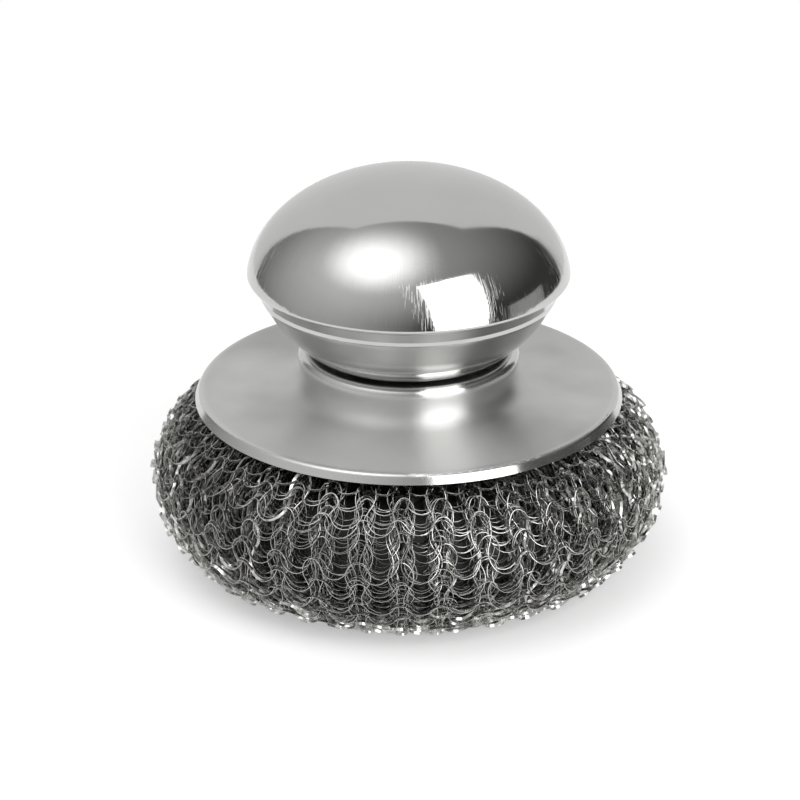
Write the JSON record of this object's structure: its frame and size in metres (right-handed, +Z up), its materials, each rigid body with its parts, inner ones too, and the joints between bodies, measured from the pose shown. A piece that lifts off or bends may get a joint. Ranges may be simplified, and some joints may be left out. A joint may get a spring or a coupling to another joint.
{
  "type": "pot scrubber",
  "caption": "Round scouring tool: a hollow polished steel knob on a flared steel plate, screwed down over a thick ring of knitted steel wire for scrubbing pans.",
  "frame": {"origin": "middle of the flat base of the wire pad, on the surface that the scrubber stands on", "axes": "+Z up along the common axis of knob, plate and pad; X and Y are free"},
  "size_m": [0.085, 0.085, 0.065],
  "materials": {
    "polished_steel": "drawn stainless sheet, polished to a soft mirror with fine handling scratches",
    "satin_steel": "spun stainless sheet, satin with faint turning marks",
    "knitted_wire": "bright flattened stainless wire, knitted in loose loops",
    "fastener_steel": "plain machined stainless steel"
  },
  "bodies": {
    "pad": {"wire_pad": "knitted_wire", "skirt_plate": "satin_steel", "clamp_washer": "fastener_steel", "lock_washer": "fastener_steel"},
    "screw": {"clamp_screw": "fastener_steel"},
    "knob": {"knob_dome": "polished_steel", "knob_cup": "polished_steel", "knob_nut": "fastener_steel"}
  },
  "joints": [
    {"name": "screw_turn", "type": "hinge", "parent": "pad", "child": "screw", "pos_m": [0, 0, 0.0088], "axis": [0, 0, -1], "continuous": true},
    {"name": "knob_lift", "type": "slide", "parent": "pad", "child": "knob", "axis": [0, 0, 1], "range_m": [0, 0.0072]}
  ],
  "couplings": [
    {"joint": "screw_turn", "follows": "knob_lift", "rad_per_m": 7854}
  ]
}
